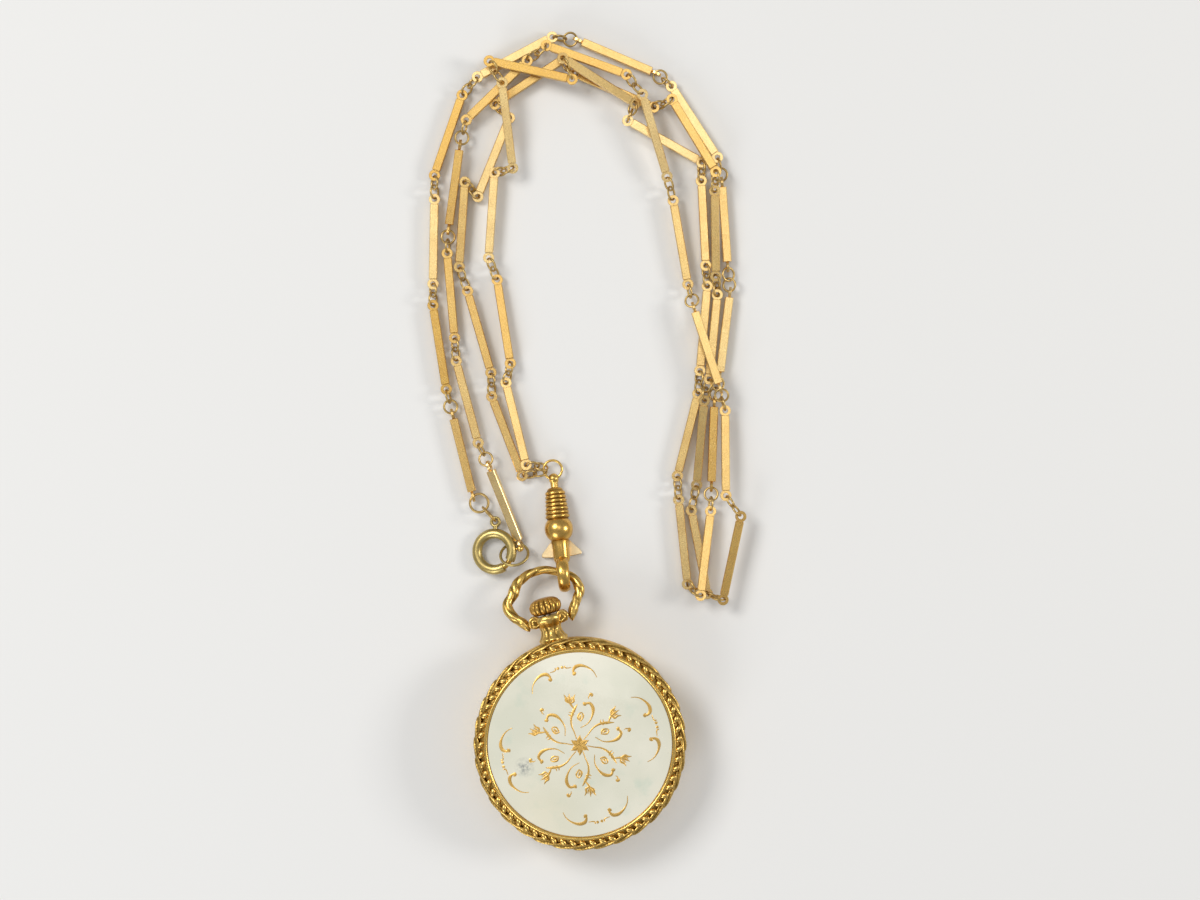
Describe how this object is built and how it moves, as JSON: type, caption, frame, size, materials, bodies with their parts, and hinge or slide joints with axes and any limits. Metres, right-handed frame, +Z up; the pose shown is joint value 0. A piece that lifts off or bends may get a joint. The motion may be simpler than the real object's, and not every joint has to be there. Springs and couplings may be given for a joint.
{
  "type": "pendant watch with chain",
  "caption": "Small gilt open-face pendant watch lying on its face, with an enamelled back, twisted bow, swivel clasp and a folded bar-link chain.",
  "frame": {"origin": "the middle of the bezel's flat ring, which lies on the table, under the middle of the case", "axes": "+Z up through the enamelled back, +Y from the case's middle through the crown, +X to the right as seen from above"},
  "size_m": [0.0616, 0.1261, 0.0104],
  "materials": {
    "case_middle": "worn gilt brass, satin to bright",
    "front_bezel": "worn gilt brass, satin to bright",
    "crystal": "clear glass",
    "back_cover": "worn gilt brass, satin to bright",
    "enamel_panel": "glossy vitreous enamel, off-white with gilt ornament",
    "back_ring": "worn gilt brass, satin to bright",
    "pendant_neck": "worn gilt brass, satin to bright",
    "pendant_sleeve": "gilt brass, brushed",
    "case_screws": "blued steel",
    "bow": "worn gilt brass, satin to bright",
    "crown": "worn gilt brass, satin to bright",
    "winding_stem": "polished steel",
    "dial": "white enamel dial with plain black hour numbers",
    "hour_hand": "blued steel",
    "minute_hand": "blued steel",
    "cannon_pinion": "polished steel",
    "minute_wheel": "gilt brass, brushed",
    "hour_wheel": "gilt brass, brushed",
    "mainplate": "nickelled brass, frosted",
    "barrel_bridge": "nickelled brass, frosted",
    "train_bridge": "nickelled brass, frosted",
    "balance_cock": "nickelled brass, frosted",
    "pallet_bridge": "nickelled brass, frosted",
    "bridge_screws": "blued steel",
    "bearing_jewels": "red synthetic ruby",
    "barrel": "gilt brass, brushed",
    "barrel_cover": "gilt brass, brushed",
    "barrel_arbor": "polished steel",
    "mainspring": "polished steel",
    "ratchet_wheel": "polished steel",
    "ratchet_screw": "blued steel",
    "crown_wheel": "polished steel",
    "crown_wheel_screw": "blued steel",
    "click": "polished steel",
    "click_spring": "polished steel",
    "centre_wheel": "gilt brass, brushed",
    "third_wheel": "gilt brass, brushed",
    "fourth_wheel": "gilt brass, brushed",
    "escape_wheel": "gilt brass, brushed",
    "pallet_fork": "polished steel",
    "balance_wheel": "gilt brass, brushed",
    "balance_staff": "polished steel",
    "hairspring": "blued steel",
    "regulator": "polished steel",
    "winding_pinion": "polished steel",
    "sliding_pinion": "polished steel",
    "setting_lever": "polished steel",
    "yoke": "polished steel",
    "swivel_body": "worn gilt brass, satin to bright",
    "swivel_gate": "worn gilt brass, finely brushed",
    "gate_pin": "worn gilt brass, finely brushed",
    "swivel_eye": "worn gilt brass, satin to bright",
    "swivel_ring": "worn gilt brass, satin to bright",
    "chain_bars": "worn gilt brass, finely brushed",
    "chain_rings": "worn gilt brass, finely brushed",
    "clasp_rings": "worn gilt brass, satin to bright",
    "spring_ring": "worn gilt brass, satin to bright",
    "spring_ring_bolt": "worn gilt brass, finely brushed",
    "jump_ring": "worn gilt brass, satin to bright"
  },
  "bodies": {
    "case": {"case_middle": "case_middle", "front_bezel": "front_bezel", "crystal": "crystal", "pendant_neck": "pendant_neck", "pendant_sleeve": "pendant_sleeve", "case_screws": "case_screws", "dial": "dial", "mainplate": "mainplate", "barrel_bridge": "barrel_bridge", "train_bridge": "train_bridge", "balance_cock": "balance_cock", "pallet_bridge": "pallet_bridge", "bridge_screws": "bridge_screws", "bearing_jewels": "bearing_jewels", "crown_wheel_screw": "crown_wheel_screw", "click_spring": "click_spring", "hairspring": "hairspring", "regulator": "regulator", "yoke": "yoke"},
    "back": {"back_cover": "back_cover", "enamel_panel": "enamel_panel", "back_ring": "back_ring"},
    "bow": {"bow": "bow"},
    "setting": {"setting_lever": "setting_lever"},
    "crown": {"crown": "crown", "winding_stem": "winding_stem"},
    "winding_pinion": {"winding_pinion": "winding_pinion"},
    "sliding_pinion": {"sliding_pinion": "sliding_pinion"},
    "crown_wheel": {"crown_wheel": "crown_wheel"},
    "ratchet": {"ratchet_wheel": "ratchet_wheel", "ratchet_screw": "ratchet_screw", "barrel_arbor": "barrel_arbor"},
    "click": {"click": "click"},
    "barrel": {"barrel": "barrel", "barrel_cover": "barrel_cover", "mainspring": "mainspring"},
    "centre": {"centre_wheel": "centre_wheel", "cannon_pinion": "cannon_pinion", "minute_hand": "minute_hand"},
    "minute": {"minute_wheel": "minute_wheel"},
    "hour": {"hour_wheel": "hour_wheel", "hour_hand": "hour_hand"},
    "third": {"third_wheel": "third_wheel"},
    "fourth": {"fourth_wheel": "fourth_wheel"},
    "escape": {"escape_wheel": "escape_wheel"},
    "pallet": {"pallet_fork": "pallet_fork"},
    "balance": {"balance_wheel": "balance_wheel", "balance_staff": "balance_staff"},
    "swivel": {"swivel_body": "swivel_body", "gate_pin": "gate_pin", "swivel_eye": "swivel_eye"},
    "gate": {"swivel_gate": "swivel_gate"},
    "chain": {"swivel_ring": "swivel_ring", "chain_bars": "chain_bars", "chain_rings": "chain_rings", "clasp_rings": "clasp_rings", "spring_ring": "spring_ring", "jump_ring": "jump_ring"},
    "bolt": {"spring_ring_bolt": "spring_ring_bolt"}
  },
  "joints": [
    {"name": "back_lift", "type": "slide", "parent": "case", "child": "back", "axis": [0, 0, 1], "range_m": [0, 0.012]},
    {"name": "bow_swing", "type": "hinge", "parent": "case", "child": "bow", "pos_m": [0, 0.0198, 0.0052], "axis": [1, 0, 0], "range_deg": [0, 74]},
    {"name": "swivel_swing", "type": "hinge", "parent": "bow", "child": "swivel", "pos_m": [0.004, 0.02602, 0.0033], "axis": [1, 0, 0], "range_deg": [-115, 0]},
    {"name": "chain_swing", "type": "hinge", "parent": "swivel", "child": "chain", "pos_m": [0.00623, 0.04092, 0.0013], "axis": [1, 0, 0], "range_deg": [0, 35]},
    {"name": "gate_swing", "type": "hinge", "parent": "swivel", "child": "gate", "pos_m": [0.00478, 0.03121, 0.00185], "axis": [-0.989, 0.1478, 0], "range_deg": [0, 9], "stiffness_Nm_per_rad": 0.001},
    {"name": "bolt_slide", "type": "hinge", "parent": "chain", "child": "bolt", "pos_m": [-0.00572, 0.0321, 0.00152], "axis": [-0.2337, 0.0944, 0.9677], "range_deg": [0, 28], "stiffness_Nm_per_rad": 0.001},
    {"name": "crown_pull", "type": "slide", "parent": "case", "child": "setting", "axis": [0, 1, 0], "range_m": [0, 0.0008]},
    {"name": "crown_turn", "type": "hinge", "parent": "setting", "child": "crown", "pos_m": [0, 0.0219, 0.0052], "axis": [0, 1, 0], "continuous": true},
    {"name": "winding_pinion_turn", "type": "hinge", "parent": "case", "child": "winding_pinion", "pos_m": [0, 0.01008, 0.0052], "axis": [0, 1, 0], "continuous": true},
    {"name": "sliding_pinion_turn", "type": "hinge", "parent": "case", "child": "sliding_pinion", "pos_m": [0, 0.0081, 0.0052], "axis": [0, 1, 0], "continuous": true},
    {"name": "crown_wheel_turn", "type": "hinge", "parent": "case", "child": "crown_wheel", "pos_m": [0, 0.0081, 0.0082], "axis": [0, 0, 1], "continuous": true},
    {"name": "ratchet_turn", "type": "hinge", "parent": "case", "child": "ratchet", "pos_m": [0.00516, 0.00361, 0.0082], "axis": [0, 0, 1], "continuous": true},
    {"name": "click_swing", "type": "hinge", "parent": "case", "child": "click", "pos_m": [0.01015, 0.0018, 0.0082], "axis": [0, 0, 1], "range_deg": [-8, 0]},
    {"name": "fourth_turn", "type": "hinge", "parent": "case", "child": "fourth", "pos_m": [-0.00505, -0.00551, 0.006], "axis": [0, 0, 1], "continuous": true},
    {"name": "third_turn", "type": "hinge", "parent": "case", "child": "third", "pos_m": [-0.00154, -0.00423, 0.006], "axis": [0, 0, 1], "continuous": true},
    {"name": "centre_turn", "type": "hinge", "parent": "case", "child": "centre", "pos_m": [0, 0, 0.006], "axis": [0, 0, 1], "continuous": true},
    {"name": "barrel_turn", "type": "hinge", "parent": "case", "child": "barrel", "pos_m": [0.00516, 0.00361, 0.006], "axis": [0, 0, 1], "continuous": true},
    {"name": "escape_turn", "type": "hinge", "parent": "case", "child": "escape", "pos_m": [-0.00739, -0.00317, 0.006], "axis": [0, 0, 1], "continuous": true},
    {"name": "minute_turn", "type": "hinge", "parent": "case", "child": "minute", "pos_m": [-0.00312, -0.0018, 0.004], "axis": [0, 0, 1], "continuous": true},
    {"name": "hour_turn", "type": "hinge", "parent": "case", "child": "hour", "pos_m": [0, 0, 0.004], "axis": [0, 0, 1], "continuous": true},
    {"name": "pallet_swing", "type": "hinge", "parent": "case", "child": "pallet", "pos_m": [-0.00786, -0.00047, 0.0064], "axis": [0, 0, 1], "range_deg": [-3, 3]},
    {"name": "balance_swing", "type": "hinge", "parent": "case", "child": "balance", "pos_m": [-0.00631, 0.00222, 0.0074], "axis": [0, 0, 1], "range_deg": [-135, 135]}
  ],
  "couplings": [
    {"joint": "swivel_swing", "follows": "bow_swing", "ratio": -1.385},
    {"joint": "chain_swing", "follows": "bow_swing", "ratio": 0.385},
    {"joint": "winding_pinion_turn", "follows": "crown_turn", "ratio": 1},
    {"joint": "sliding_pinion_turn", "follows": "crown_turn", "ratio": 1},
    {"joint": "crown_wheel_turn", "follows": "crown_turn", "ratio": -0.68182},
    {"joint": "ratchet_turn", "follows": "crown_turn", "ratio": 0.49587},
    {"joint": "third_turn", "follows": "fourth_turn", "ratio": -0.13333},
    {"joint": "centre_turn", "follows": "fourth_turn", "ratio": 0.016667},
    {"joint": "barrel_turn", "follows": "fourth_turn", "ratio": -0.0027778},
    {"joint": "escape_turn", "follows": "fourth_turn", "ratio": -10},
    {"joint": "minute_turn", "follows": "fourth_turn", "ratio": -0.0055556},
    {"joint": "hour_turn", "follows": "fourth_turn", "ratio": 0.0013889}
  ]
}
